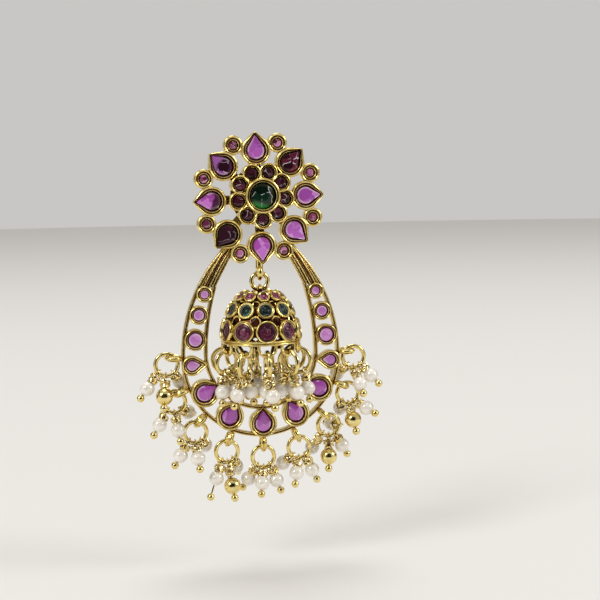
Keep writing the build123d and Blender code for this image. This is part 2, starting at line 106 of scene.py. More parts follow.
class EarringStage(bpy.types.PropertyGroup):
    floor_drop: distance("Floor drop", "How far the floor lies under the lowest bead", 14 * MM)
    floor_radius: distance("Floor radius", "Radius of the round floor", 2.5)
    camera_place: FloatVectorProperty(
        name="Camera place", description="Where the camera stands",
        default=(-0.0420, -0.2500, 0.0020), size=3, subtype="TRANSLATION", unit="LENGTH",
    )
    camera_aim: FloatVectorProperty(
        name="Camera aim", description="The point that the camera looks at",
        default=(0.0085, 0.0, -0.0208), size=3, subtype="TRANSLATION", unit="LENGTH",
    )
    camera_roll: FloatProperty(
        name="Camera roll", description="Turn of the camera about its line of sight",
        default=radians(-1.05), subtype="ANGLE", unit="ROTATION",
    )
    field: FloatProperty(
        name="Field of view", description="Angle that the picture spans",
        default=radians(26.8), subtype="ANGLE", unit="ROTATION",
    )


# ---- Materials ----


def rgb(code):
    """An sRGB hex colour as linear RGBA."""
    parts = [int(code[i : i + 2], 16) / 255 for i in (0, 2, 4)]
    linear = [c / 12.92 if c <= 0.04045 else ((c + 0.055) / 1.055) ** 2.4 for c in parts]
    return (*linear, 1.0)


def add(tree, kind, settings=None, links=None):
    """Adds one node: settings go to its sockets or properties, and links feed its sockets.

    A link comes from a socket, or from a node's first output.
    """
    made = tree.nodes.new(f"ShaderNode{kind}")
    for name, value in (settings or {}).items():
        if name == "stops":
            stops = made.color_ramp.elements
            while len(stops) < len(value):
                stops.new(0.5)
            for stop, (place, colour) in zip(stops, value):
                stop.position, stop.color = place, colour
        elif isinstance(name, int) or name in made.inputs:
            made.inputs[name].default_value = value
        else:
            setattr(made, name, value)
    for name, source in (links or {}).items():
        if isinstance(source, bpy.types.Node):
            source = source.outputs[0]
        tree.links.new(source, made.inputs[name])
    return made


def new_material(name, **shader):
    """A material with a shader of the given socket values, and its object coordinates."""
    material = bpy.data.materials.new(name)
    material.use_nodes = True
    tree = material.node_tree
    tree.nodes.clear()
    surface = add(tree, "BsdfPrincipled", shader)
    add(tree, "OutputMaterial", links={"Surface": surface.outputs["BSDF"]})
    coords = add(tree, "TexCoord").outputs["Object"]
    return material, tree, surface, coords


def mottled(tree, coords, size, detail, *stops):
    """Cloudy patches of a size in millimetres: their strength, and a tone between two stops."""
    cloud = add(tree, "TexNoise", {"Scale": 1 / (size * MM), "Detail": detail}, {"Vector": coords})
    tone = add(tree, "ValToRGB", {"stops": stops}, {"Fac": cloud})
    return cloud, tone.outputs["Color"]


def worked(tree, surface, height, strength, depth, rough):
    """Bumps a metal by a height, to a depth in millimetres, and roughens it between two values."""
    bump = add(tree, "Bump", {"Strength": strength, "Distance": depth * MM}, {"Height": height})
    tree.links.new(bump.outputs["Normal"], surface.inputs["Normal"])
    dull = add(tree, "MapRange", {"To Min": rough[0], "To Max": rough[1]}, {"Value": height})
    tree.links.new(dull.outputs["Result"], surface.inputs["Roughness"])


# ---- Shaping ----

TIP_ROUND = 0.4  # of a drop outline's point, in millimetres
TIP_INSET = 0.45  # the share of an inset that most drop outlines lose at their point
SHARP = radians(40)  # a wider angle between faces is shown as a sharp edge


def verts_of(geom):
    return [item for item in geom if isinstance(item, bmesh.types.BMVert)]


def spun(bm, geom, centre, angle, steps, **more):
    """Spins geometry about an upright axis and returns what stands at the end of the spin."""
    return bmesh.ops.spin(
        bm, geom=geom, cent=centre, axis=(0, 0, 1), angle=angle, steps=steps, **more
    )["geom_last"]


def raised(z):
    return Matrix.Translation((0, 0, z))


def round_loop(bm, inset, radius, steps=40):
    """A flat round outline about the origin."""
    made = bmesh.ops.create_circle(bm, cap_ends=False, radius=radius - inset, segments=steps)
    return list({edge for vert in made["verts"] for edge in vert.link_edges})


def pear_loop(bm, inset, width, length, tip_inset=TIP_INSET):
    """A flat drop outline about the middle of its round end, with its point along +Y."""
    end_r = width / 2 - inset
    reach = length - width / 2 - tip_inset * inset
    tip = TIP_ROUND * 2 * end_r / width
    half = asin(end_r / reach)
    tip_y = reach - tip / sin(half)
    old = set(bm.edges)
    start = bm.verts.new((-end_r * cos(half), end_r * sin(half), 0))
    end = verts_of(spun(bm, [start], (0, 0, 0), pi + 2 * half, 36))[0]
    tip_start = bm.verts.new((tip * cos(half), tip_y + tip * sin(half), 0))
    tip_end = verts_of(spun(bm, [tip_start], (0, tip_y, 0), pi - 2 * half, 6))[0]
    flanks = [bm.edges.new((end, tip_start)), bm.edges.new((tip_end, start))]
    bmesh.ops.subdivide_edges(bm, edges=flanks, cuts=5)
    return [edge for edge in bm.edges if edge not in old]


def skin(bm, profile, loop_kind, *sizes, capped=False):
    """Skins outlines of one kind through (inset, height) steps, as a ring or capped.

    Neighbouring steps need different heights, or the bridge between them may cross the middle.
    """
    loops = []
    for inset, height in profile:
        loop = loop_kind(bm, inset, *sizes)
        verts = {vert for edge in loop for vert in edge.verts}
        bmesh.ops.translate(bm, vec=(0, 0, height), verts=list(verts))
        loops.append(loop)
    if capped:
        bmesh.ops.holes_fill(bm, edges=loops[0])
        bmesh.ops.holes_fill(bm, edges=loops[-1])
    else:
        bmesh.ops.bridge_loops(bm, edges=loops[-1] + loops[0])
    for low, high in zip(loops, loops[1:]):
        bmesh.ops.bridge_loops(bm, edges=low + high)


def placed(bm, places):
    """Copies all that bm holds to each place, given as matrices."""
    geom = bm.verts[:] + bm.edges[:] + bm.faces[:]
    for place in places[1:]:
        made = bmesh.ops.duplicate(bm, geom=geom)["geom"]
        bmesh.ops.transform(bm, matrix=place, verts=verts_of(made))
    bmesh.ops.transform(bm, matrix=places[0], verts=verts_of(geom))


def new_object(name, bm, material):
    """Turns a bmesh into an object of one material in the scene."""
    mesh = bpy.data.meshes.new(name)
    bm.to_mesh(mesh)
    bm.free()
    mesh.materials.append(material)
    made = bpy.data.objects.new(name, mesh)
    bpy.context.scene.collection.objects.link(made)
    return made


def finish_piece(name, bm, look, body, slot="antique_gold", replaced=()):
    """Turns a bmesh in millimetres into a piece with a named finish that rides on a CAD body."""
    bmesh.ops.remove_doubles(bm, verts=bm.verts, dist=1e-5)
    bmesh.ops.recalc_face_normals(bm, faces=bm.faces)
    bmesh.ops.scale(bm, vec=(MM, MM, MM), verts=bm.verts)
    piece = new_object(name, bm, finish(look))
    piece.data.shade_smooth()
    piece.data.set_sharp_from_angle(angle=SHARP)
    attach(piece, body)
    if replaced:
        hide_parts(*replaced)
    return piece


# ---- Places on the frame, in millimetres ----

BACK = -0.5  # the back of the rosette and hoop, on Y
HANG_Y = -1.5  # the plane in which everything hangs
HOOP_LOW = -31.85
RAIL_TOP = 1.4
FACE = Matrix(((1, 0, 0, 0), (0, 0, -1, BACK), (0, 1, 0, 0), (0, 0, 0, 1)))


def polar(radius, angle):
    return radius * cos(radians(angle)), radius * sin(radians(angle))


def on_face(radius, angle, point, shift=(0.0, 0.0)):
    """A place on the front at a radius and angle, with a setting's point turned to point."""
    x, z = polar(radius, angle)
    at = Matrix.Translation((x + shift[0], 0, z + shift[1]))
    return at @ FACE @ Matrix.Rotation(radians(point - 90), 4, "Z")


FLOWER = (0.4, 0.5)
PEAR_TURNS = [92.5 - 45 * i for i in range(8)]
ROSETTE_PEARS = [on_face(9.45, a, a) for a in PEAR_TURNS]
ROSETTE_ROUNDS = [on_face(11.6, a - 22.5, 90) for a in PEAR_TURNS]
PETALS = [on_face(4.75, -87.5 + 40 * i, 90, FLOWER) for i in range(9)]
CENTRE = [on_face(0, 0, 90, FLOWER)]
HOOP_PEARS = [on_face(13.5, a, a + 180, (0, HOOP_LOW)) for a in (-150, -120, -90, -60, -30)]
SIDE_PEARS = [on_face(14.15, a, a + 180, (0, HOOP_LOW)) for a in (-175.5, -4.5)]

# (half width, side arc, height of the widest place)
HOOP_OUTER = (16.15, 31.7, HOOP_LOW)
HOOP_INNER = (10.85, 44.7, -30.85)
# Above the first round settings the inner edge runs straighter
ARM_INNER = (20.15, 105.0, -64.6)
ARM_TOP = -9.3
ARM_BOTTOM = -17.4


def hoop_edge(half_width, side_arc, low, z):
    return half_width - side_arc + sqrt(side_arc**2 - (z - low) ** 2)


def hoop_sides(z):
    """The two places up the hoop's sides at one height, midway between its edges."""
    x = (hoop_edge(*HOOP_OUTER, z) + hoop_edge(*HOOP_INNER, z)) / 2
    return [on_face(0, 0, 90, (side * x, z)) for side in (-1, 1)]


# The settings of the front
# (name, pear size or round radius, lip, height, places, CAD stones, finishes, slot)
SETTINGS = (
    (
        "rosette_pear", (5.7, 6.6), 0.8, 2.5, ROSETTE_PEARS,
        [f"rosette_pear_stone_{i}" for i in range(1, 9)],
        # Painted light and shade: the plum finishes are the same pear glass painted dark as if unlit
        ("violet", "red plum", "violet", "violet", "strong violet", "plum", "half violet", "plum violet"),
        "pink_glass",
    ),
    (
        "hoop_pear", (5.5, 6.1), 0.85, 2.1, HOOP_PEARS,
        [f"hoop_pear_stone_{i}" for i in range(1, 6)], ("strong violet",) * 5, "pink_glass",
    ),
    (
        "hoop_side_pear", (3.9, 5.3, 1.7), 0.75, 2.1, SIDE_PEARS,
        ["hoop_side_pear_stones"], ("lilac",), "pink_glass",
    ),
    ("centre", (3.45,), 0.8, 5.0, CENTRE, ["centre_stone"], ("green",), "green_glass"),
    ("petal", (1.85,), 0.63, 3.5, PETALS, ["petal_stones"], ("petal",), "maroon_glass"),
    (
        "rosette_round", (1.86,), 0.86, 2.2, ROSETTE_ROUNDS,
        ["rosette_round_stones"], ("rose",), "rose_glass",
    ),
    ("hoop_upper_round", (1.6,), 0.65, 2.1, hoop_sides(-18.8), [], ("lilac",), "pink_glass"),
    ("hoop_middle_round", (1.85,), 0.6, 2.1, hoop_sides(-22.9), [], ("lilac",), "pink_glass"),
    (
        "hoop_lower_round", (2.15,), 0.55, 2.1, hoop_sides(-27.8),
        ["hoop_round_stones"], ("lilac",), "pink_glass",
    ),
)

# The bell: its side is an arc from the rim and a closer one to the crown
RIM_Z = -28.8
BELL_R = 7.45
SIDE_ARC = 15.0
TOP_ARC = 7.5
ARC_TURN = radians(28)
ARC_RISE = SIDE_ARC * sin(ARC_TURN)
TOP_CENTRE = (
    (BELL_R - SIDE_ARC) + (SIDE_ARC - TOP_ARC) * cos(ARC_TURN), (SIDE_ARC - TOP_ARC) * sin(ARC_TURN),
)
COLUMNS = [36 * i for i in range(10)]

# (rise above the rim, collet radius, rim width, finish, slot)
BELL_ROWS = {
    "lower": (2.65, 2.2, 0.58, "garnet", "maroon_glass"),
    "middle": (6.65, 1.72, 0.36, "teal", "green_glass"),
    "upper": (9.1, 1.25, 0.32, "bell rose", "rose_glass"),
}

# (rise above the rim, width, height)
BELL_WINDOWS = ((4.6, 1.8, 2.0), (7.9, 1.2, 1.2))
LATTICE_WIRE = 0.17


def bell_point(rise):
    """Radius of the bell's side at a height above its rim, and how far up it faces there."""
    if rise < ARC_RISE:
        slope = asin(rise / SIDE_ARC)
        return BELL_R - SIDE_ARC + SIDE_ARC * cos(slope), slope
    slope = asin((rise - TOP_CENTRE[1]) / TOP_ARC)
    return TOP_CENTRE[0] + TOP_ARC * cos(slope), slope


def on_bell(rise, column):
    """A place on the bell's side whose Z points straight out."""
    radius, slope = bell_point(rise)
    axis = Matrix.Translation((0, HANG_Y, RIM_Z)) @ Matrix.Rotation(radians(column), 4, "Z")
    out = Matrix.Translation((0, -radius, rise)) @ Matrix.Rotation(pi / 2 - slope, 4, "X")
    return axis @ out


# ---- Finishes ----


def bell_wall(tree, coords):
    """One on the bell's plain wall, and nought on what stands proud of it."""
    foot = (0, HANG_Y * MM, RIM_Z * MM)
    axis = add(tree, "VectorMath", {"operation": "SUBTRACT", 1: foot}, {0: coords})
    split = add(tree, "SeparateXYZ", links={0: axis}).outputs
    flat = add(tree, "CombineXYZ", links={"X": split["X"], "Y": split["Y"]})
    radius = add(tree, "VectorMath", {"operation": "LENGTH"}, {0: flat})
    section = add(tree, "CombineXYZ", links={"X": radius.outputs["Value"], "Y": split["Z"]})
    stands = []
    for (x, z), arc in (((BELL_R - SIDE_ARC, 0), SIDE_ARC), (TOP_CENTRE, TOP_ARC)):
        away = add(
            tree, "VectorMath", {"operation": "DISTANCE", 1: (x * MM, z * MM, 0)},
            {0: section},
        )
        past = add(tree, "Math", {"operation": "SUBTRACT", 1: arc * MM}, {0: away.outputs["Value"]})
        stands.append(past)
    upper = add(tree, "Math", {"operation": "GREATER_THAN", 1: ARC_RISE * MM}, {0: split["Z"]})
    stand = add(tree, "Mix", links={0: upper, 2: stands[0], 3: stands[1]})
    return add(
        tree, "MapRange",
        {"From Min": 0.06 * MM, "From Max": 0.22 * MM, "To Min": 1.0, "To Max": 0.0},
        {"Value": stand},
    )


def antique_gold(on_bell_wall=False):
    """Cast brass in antiqued gold plate: pale and bright where rubbed, brown in the recesses from oxide
    and from painted shade.
    """
    colours = bpy.context.scene.earring_colours
    name = "cast brass, antiqued gold plate" + (" over a stained wall" if on_bell_wall else "")
    material, tree, surface, coords = new_material(name, Metallic=1.0)
    # Oxide and painted shade fill what lies within about 1 mm of a neighbour, found by ambient occlusion
    hollow = add(tree, "AmbientOcclusion", {"samples": 6, "Distance": 1.0 * MM})
    depth = add(
        tree, "ValToRGB",
        {"stops": [
            (0.12, rgb(colours.gold_recess)), (0.28, rgb(colours.gold_shade)), (0.48, rgb(colours.gold)),
        ]},
        {"Fac": hollow.outputs["AO"]},
    )
    if on_bell_wall:
        depth = add(
            tree, "Mix", {"data_type": "RGBA", 7: rgb(colours.wall)},
            {"Factor": bell_wall(tree, coords), 6: depth.outputs["Color"]},
        )
    # Plate wears unevenly in patches about 1.5 mm across
    worn = mottled(tree, coords, 1.5, 3.0, (0.35, rgb("E6D8BC")), (0.62, rgb("FFFFFF")))[1]
    tone = add(
        tree, "Mix",
        {"data_type": "RGBA", "blend_type": "MULTIPLY", "Factor": 1.0},
        {6: depth.outputs[2 if on_bell_wall else "Color"], 7: worn},
    )
    tree.links.new(tone.outputs[2], surface.inputs["Base Color"])
    # Cast skin: pits and ripples about 0.35 mm across
    grain = add(tree, "TexNoise", {"Scale": 1 / (0.35 * MM), "Detail": 4.0}, {"Vector": coords})
    worked(tree, surface, grain, 0.2, 0.03, (0.12, 0.26))
    return material


def groove_shade_band():
    """Painted shade of the settings' grooves: a dark red-brown band laid in them."""
    material, tree, surface, coords = new_material("painted groove shade, dark red-brown", Roughness=0.4)
    tone = mottled(tree, coords, 0.6, 2.0, (0.35, rgb("2A0E0A")), (0.65, rgb("5A2A18")))[1]
    tree.links.new(tone, surface.inputs["Base Color"])
    return material


def drawn_wire(name, colour, ripple):
    """Round drawn wire or a stamped bead, gold plated: smooth, bright, a little scuffed."""
    material, tree, surface, coords = new_material(name, Metallic=1.0, Roughness=0.12)
    stops = (0.3, rgb(colour[0])), (0.65, rgb(colour[1]))
    scuffs, tone = mottled(tree, coords, 0.7, 3.0, *stops)
    tree.links.new(tone, surface.inputs["Base Color"])
    worked(tree, surface, scuffs, ripple, 0.02, (0.08, 0.22))
    return material


def nacre():
    """Imitation pearl: a glass bead dipped in nacre lacquer, milky with a soft sheen."""
    colours = bpy.context.scene.earring_colours
    material, tree, surface, coords = new_material(
        "glass bead, dipped nacre lacquer",
        Roughness=0.18, IOR=1.6, **{"Coat Weight": 1.0, "Coat Roughness": 0.03, "Coat IOR": 2.0},
    )
    stops = (0.3, rgb("DDD5C6")), (0.6, rgb(colours.pearl))
    tone = mottled(tree, coords, 1.6, 2.0, *stops)[1]
    tree.links.new(tone, surface.inputs["Base Color"])
    return material


FRONT_HEART = (0, 1.0, 0)  # a point far behind, so that all fronts face away from it


def bell_heart(row):
    """The point on the bell's axis that a row of its stones faces away from."""
    rise = BELL_ROWS[row][0]
    radius, slope = bell_point(rise)
    return (0, HANG_Y * MM, (RIM_Z + rise - radius * tan(slope)) * MM)


def foil_glass(
    name, face, light, deep, rim, fold, crease, shine,
    row=None, spread=(0.6, 0.88), split=None, edge=0.0,
):
    """Glass over crumpled foil with painted light and shade: a tone for each fold, pale creases as painted
    highlights, painted shade on its rim and a painted highlight along its ridge.

    A split paints light and shade past a line, turning the glass another colour: its middle in
    millimetres, its way, where the turn starts and ends, and the colour. A row is one of the bell's.
    """
    heart = bell_heart(row) if row else FRONT_HEART
    facing = (0.93, 0.985) if row else (0.8, 0.9)
    material, tree, surface, coords = new_material(
        name, Roughness=0.14, IOR=1.5,
        **{"Specular IOR Level": 0.5 * shine, "Coat Weight": shine, "Coat Roughness": 0.03},
    )
    warp = add(tree, "TexNoise", {"Scale": 1 / (1.5 * MM), "Detail": 1.0}, {"Vector": coords})
    centred = add(
        tree, "VectorMath", {"operation": "SUBTRACT", 1: (0.5,) * 3}, {0: warp.outputs["Color"]}
    )
    bent = add(
        tree, "VectorMath", {"operation": "MULTIPLY_ADD", 1: (1.1 * MM,) * 3},
        {0: centred, 2: coords},
    )
    # Painted light and shade: each fold of the foil takes a tone at random, from deep through face to
    # light, for how much light it catches
    cells = add(tree, "TexVoronoi", {"Scale": 1 / (fold * MM)}, {"Vector": bent})
    chance = add(tree, "SeparateColor", links={"Color": cells.outputs["Color"]})
    foil = add(
        tree, "ValToRGB",
        {"stops": [(0.12, rgb(deep)), (0.36, rgb(face)), (spread[0], rgb(face)), (spread[1], rgb(light))]},
        {"Fac": chance},
    )
    # Painted highlights: pale lines along the foil's folds, broken in places
    folds = add(
        tree, "TexVoronoi", {"Scale": 1 / (fold * MM), "feature": "DISTANCE_TO_EDGE"},
        {"Vector": bent},
    )
    line = add(
        tree, "MapRange", {"From Min": 0.008, "From Max": 0.03, "To Min": crease, "To Max": 0.0},
        {"Value": folds},
    )
    gaps = add(tree, "TexNoise", {"Scale": 1 / (0.9 * MM), "Detail": 0.0}, {"Vector": coords})
    broken = add(tree, "MapRange", {"From Min": 0.45, "From Max": 0.55}, {"Value": gaps})
    creased = add(tree, "Math", {"operation": "MULTIPLY"}, {0: line, 1: broken})
    tone = add(
        tree, "Mix", {"data_type": "RGBA", 7: rgb("F6ECF4")},
        {"Factor": creased, 6: foil},
    ).outputs[2]
    # Painted shade: the rim colour takes over where the glass turns away from the front, down the bevel
    # and round the dome
    normal = add(tree, "NewGeometry").outputs["Normal"]
    away = add(tree, "VectorMath", {"operation": "SUBTRACT", 1: heart}, {0: coords})
    front = add(tree, "VectorMath", {"operation": "NORMALIZE"}, {0: away})
    square = add(tree, "VectorMath", {"operation": "DOT_PRODUCT"}, {0: front, 1: normal})
    table = add(
        tree, "MapRange", {"From Min": facing[0], "From Max": facing[1]},
        {"Value": square.outputs["Value"]},
    )
    tone = add(
        tree, "Mix", {"data_type": "RGBA", 6: rgb(rim)},
        {"Factor": table, 7: tone},
    ).outputs[2]
    # Painted highlight: a pale pink line where the bevel meets the table, shown on some folds and as
    # strong as the edge share
    dark, bright = rgb("000000"), rgb("FFFFFF")
    ridge = add(
        tree, "ValToRGB",
        {"stops": [(facing[0], dark), (0.9, bright), (0.96, bright), (0.99, dark)]},
        {"Fac": square.outputs["Value"]},
    )
    struck = add(
        tree, "MapRange", {"From Min": 0.4, "From Max": 0.52, "To Max": edge},
        {"Value": chance.outputs[1]},
    )
    lit = add(tree, "Math", {"operation": "MULTIPLY"}, {0: ridge, 1: struck})
    tone = add(
        tree, "Mix", {"data_type": "RGBA", 7: rgb("F2D6F0")},
        {"Factor": lit, 6: tone},
    ).outputs[2]
    # Painted light and shade past the split line: a glow on the green and red plum stones, a lit patch on
    # plum violet, shade on half violet
    if split:
        middle, way, start, end, colour = split
        past = add(
            tree, "VectorMath", {"operation": "SUBTRACT", 1: [c * MM for c in middle]},
            {0: bent},
        )
        along = add(tree, "VectorMath", {"operation": "DOT_PRODUCT", 1: way}, {0: past})
        turned = add(
            tree, "MapRange", {"From Min": start * MM, "From Max": end * MM, "To Max": 0.92},
            {"Value": along.outputs["Value"]},
        )
        tone = add(
            tree, "Mix", {"data_type": "RGBA", 7: rgb(colour)},
            {"Factor": turned, 6: tone},
        ).outputs[2]
    tree.links.new(tone, surface.inputs["Base Color"])
    dents = add(tree, "TexNoise", {"Scale": 1 / (1.1 * MM), "Detail": 1.0}, {"Vector": coords})
    bump = add(tree, "Bump", {"Strength": 0.5, "Distance": 0.12 * MM}, {"Height": dents})
    tree.links.new(bump.outputs["Normal"], surface.inputs["Coat Normal"])
    return material


# (label, face, light, deep, rim, fold, crease, shine, and what else differs)
# The rim colour is painted shade on the bevel; the creases and the edge share give painted highlights
GLASS = {
    "violet": (
        "foiled glass, violet", "B866C0", "D698DC", "9A48A0", "3E1230", 2.2, 0.15, 1.0,
        {"edge": 0.75},
    ),
    "strong violet": (
        "foiled glass, strong violet", "AC50B2", "C676CC", "9A42A0", "5A1A48", 2.9, 0.15, 1.0,
        {"edge": 0.7},
    ),
    # Painted shade: half violet, plum, red plum and plum violet are the rosette's pear glass painted dark
    # where it catches no light, with a painted red glow on red plum and a lit violet patch on plum violet
    "half violet": (
        "foiled glass, violet and plum", "A850A8", "D080D6", "9A449A", "3E1230", 2.6, 0.15, 1.0,
        {"edge": 0.6, "split": ((-9.4, 0, -0.4), (1, 0, -0.3), -0.1, 0.3, "3A1226")},
    ),
    "lilac": (
        "foiled glass, lilac", "C280C6", "D298D6", "B470BA", "5A1E48", 2.4, 0.1, 1.0,
        {"edge": 0.7},
    ),
    # Painted shade: the pear glass painted dark as if unlit
    "plum": (
        "pressed glass, dark plum", "301420", "3C1A2A", "240C18", "200A12", 3.2, 0.25, 0.4,
        {"spread": (0.75, 0.98)},
    ),
    "red plum": (
        "pressed glass, plum with a red glow", "3A1424", "5A1C34", "260C16", "22080F", 2.4, 0.7, 0.4,
        {"split": ((6.4, 0, 7.0), (0.4, 0, -0.9), 1.0, 1.9, "8A1E44")},
    ),
    "plum violet": (
        "foiled glass, plum violet", "42183A", "8A4A92", "2A0E1E", "3A1230", 2.4, 0.4, 0.4,
        {"edge": 0.4, "split": ((-7.0, 0, 6.4), (-0.85, 0, 0.5), 0.7, 1.3, "9A5CA6")},
    ),
    "rose": ("foiled glass, rose", "8E3A66", "C47AAA", "541A38", "34101C", 1.6, 0.5, 1.0, {}),
    "petal": (
        "pressed glass, maroon", "3E1626", "643048", "280C16", "24080E", 1.8, 0.55, 0.35,
        {"spread": (0.7, 0.95)},
    ),
    # The green stone's split paints a bright green glow on its lower side
    "green": (
        "foiled glass, bottle green", "0C2618", "143424", "07160E", "0A2014", 2.4, 0.7, 0.35,
        {"split": ((0.4, 0, 0.9), (-0.2, 0, -0.97), 1.6, 3.1, "32A04C")},
    ),
    "garnet": (
        "foiled glass, garnet", "561C32", "763450", "3C1224", "280A14", 2.2, 0.15, 0.3,
        {"row": "lower"},
    ),
    "teal": (
        "foiled glass, teal green", "0E241C", "2A5A48", "0A1814", "060E0A", 1.7, 0.3, 0.3,
        {"row": "middle", "spread": (0.65, 0.95)},
    ),
    "bell rose": (
        "foiled glass, bell rose", "943860", "C8789E", "5E1C38", "461024", 1.4, 0.2, 0.4,
        {"row": "upper"},
    ),
}

# (label, dark and light tone, strength of the ripple)
WIRES = {
    "stained gold": ("brass wire, rosy brown stain", ("4A2814", "80502C"), 0.3),
    "bright gold": ("brass wire, bright gold plate", ("E2C670", "F4E3A2"), 0.15),
    "pin wire": ("soft brass wire, rosy gold plate", ("F2DA94", "FBEEC2"), 0.2),
    "post steel": ("surgical steel, drawn and polished", ("B9BBBD", "D4D5D6"), 0.1),
}

MADE = {}


def new_finish(name):
    if name in WIRES:
        return drawn_wire(*WIRES[name])
    if name in GLASS:
        *look, more = GLASS[name]
        return foil_glass(*look, **more)
    if name == "groove shade":
        return groove_shade_band()
    if name == "pearl":
        return nacre()
    return antique_gold(on_bell_wall=name == "bell gold")


def finish(name):
    """The named finish, made once."""
    if name not in MADE:
        MADE[name] = new_finish(name)
    return MADE[name]


def repaint(node, name):
    """Gives a CAD node a finish in place of the plain one it came with."""
    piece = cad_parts[node]
    piece.data.materials.clear()
    piece.data.materials.append(finish(name))


def nodes_named(*starts):
    return [n for n in sorted(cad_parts) if n.startswith(starts)]


# ---- Parts of pieces ----


def stamp(bm, place, build, *sizes):
    """Builds a shape by itself, moves it to its place and adds it to a bmesh."""
    part = bmesh.new()
    build(part, *sizes)
    add_part(bm, part, place)


def add_part(bm, part, place):
    """Moves one bmesh to its place, adds it to another and frees it."""
    bmesh.ops.transform(part, matrix=place, verts=part.verts)
    carrier = bpy.data.meshes.new("carrier")
    part.to_mesh(carrier)
    part.free()
    bm.from_mesh(carrier)
    bpy.data.meshes.remove(carrier)


GROOVE = (0.46, 0.66)  # where a lip's groove starts and ends, as shares of its depth


def lip(bm, depth, height, loop_kind, *sizes):
    """A rolled setting edge: an outer bead, a deep groove and a thin inner bead."""
    profile = (
        (-0.05, height - 0.8),
        (-0.08, height - 0.2),
        (-0.04, height + 0.1),
        (0.08 * depth, height + 0.22),
        (0.22 * depth, height + 0.27),
        (0.36 * depth, height + 0.22),
        (GROOVE[0] * depth, height + 0.1),
        (0.48 * depth, height - 0.1),
        (0.64 * depth, height - 0.13),
        (GROOVE[1] * depth, height + 0.06),
        (0.74 * depth, height + 0.14),
        (0.84 * depth, height + 0.15),
        (0.95 * depth, height + 0.08),
        (depth + 0.02, height - 0.1),
        (depth + 0.02, height - 0.75),
        (0.5 * depth, height - 0.83),
    )
    skin(bm, profile, loop_kind, *sizes)


def band(bm, start, end, low, high, loop_kind, *sizes):
    """A plain rounded rim between two insets."""
    wide = end - start
    profile = (
        (start - 0.03, low),
        (start - 0.03, high - 0.2),
        (start + 0.1 * wide, high - 0.05),
        (start + 0.4 * wide, high),
        (start + 0.7 * wide, high - 0.02),
        (start + wide, high - 0.12),
        (start + wide, low + 0.03),
    )
    skin(bm, profile, loop_kind, *sizes)


def grooved_lips(bm, stain, places, depth, height, low, high, loop_kind, *sizes):
    """Setting edges at their places, and a dark band of painted shade between two heights of their
    grooves.
    """
    lip(bm, depth, height, loop_kind, *sizes)
    placed(bm, places)
    groove = bmesh.new()
    start, end = (share * depth for share in GROOVE)
    band(groove, start, end, low, high, loop_kind, *sizes)
    placed(groove, places)
    # The dark band in each groove is painted shade
    add_part(stain, groove, Matrix())


def flat_stone(bm, edge, height, loop_kind, *sizes):
    """A foiled stone with a bevel, a softened ridge and a table that swells a little."""
    half = sizes[0] / 2 if loop_kind is pear_loop else sizes[0]
    bevel = 0.32 * (half - edge) - 0.2
    reach = half - edge - bevel - 0.2
    profile = (
        (edge, 1.0),
        (edge, height - 0.24 - 0.75 * bevel),
        (edge + 0.06 * bevel, height - 0.22 - 0.7 * bevel),
        (edge + 0.75 * bevel, height - 0.22),
        (edge + bevel + 0.04, height - 0.16),
        (edge + bevel + 0.4 * reach, height - 0.13),
        (edge + bevel + 0.75 * reach, height - 0.11),
    )
    skin(bm, profile, loop_kind, *sizes, capped=True)


def domed_stone(bm, edge, low, top, rise, radius):
    """A cabochon: a short straight side under a low dome."""
    end = radius - edge
    steps = [
        (edge + end * (1 - cos(turn)), top - rise + rise * sin(turn))
        for turn in (0.25, 0.5, 0.75, 1.0, 1.25, 1.42)
    ]
    skin(bm, [(edge, low), (edge, top - rise), *steps], round_loop, radius, capped=True)


def ringed_stone(bm, edge, low, top, radius):
    """A low round stone with a bevel and a groove pressed round its middle."""
    end = radius - edge
    profile = (
        (edge, low),
        (edge, top - 0.12),
        (edge + 0.03, top - 0.1),
        (edge + 0.2 * end, top),
        (edge + 0.42 * end, top + 0.01),
        (edge + 0.5 * end, top - 0.07),
        (edge + 0.57 * end, top - 0.05),
        (edge + 0.64 * end, top + 0.02),
        (edge + 0.85 * end, top + 0.05),
    )
    skin(bm, profile, round_loop, radius, 32, capped=True)


def wire_end(bm, place, wire, sides, capped):
    """A wire's round end that faces along Y at a place, as the geometry that a spin draws out."""
    at = Matrix.Translation(place) @ Matrix.Rotation(pi / 2, 4, "X")
    verts = bmesh.ops.create_circle(
        bm, cap_ends=capped, radius=wire, segments=sides, matrix=at
    )["verts"]
    edges = list({edge for vert in verts for edge in vert.link_edges})
    return verts + edges + list({face for vert in verts for face in vert.link_faces})


def wire_ring(bm, radius, wire, steps=20, sides=6):
    """A round ring about the Z axis."""
    geom = wire_end(bm, (radius, 0, 0), wire, sides, False)
    spun(bm, geom, (0, 0, 0), 2 * pi, steps, use_merge=True)


def coil(bm, radius, wire, length, turns):
    """A wrapped wire that climbs the Z axis from the origin, closed at both ends."""
    geom = wire_end(bm, (radius, 0, 0), wire, 6, True)
    steps = round(12 * turns)
    spun(bm, geom, (0, 0, 0), 2 * pi * turns, steps, dvec=(0, 0, length / steps))


def rod(bm, radius, low, high):
    """A round rod up the Z axis."""
    bmesh.ops.create_cone(
        bm, cap_ends=True, segments=8, radius1=radius, radius2=radius, depth=high - low,
        matrix=raised((low + high) / 2),
    )


def ball(bm, radius, height):
    """A ball up the Z axis."""
    at = raised(height)
    bmesh.ops.create_uvsphere(bm, u_segments=16, v_segments=10, radius=radius, matrix=at)


# The loose loops over a wrap: share of the way down it, radius in wires, most lean in degrees
LOOSE_LOOPS = (
    (-0.3, 5.0, 75), (-0.05, 5.4, 50), (0.2, 5.0, 45), (0.45, 5.2, 40), (0.7, 4.6, 35), (0.95, 4.0, 30),
)
FINE_WIRE = 0.75  # of a pin's own wire
WRAP_START = 0.3  # how far a wrap reaches up the loop


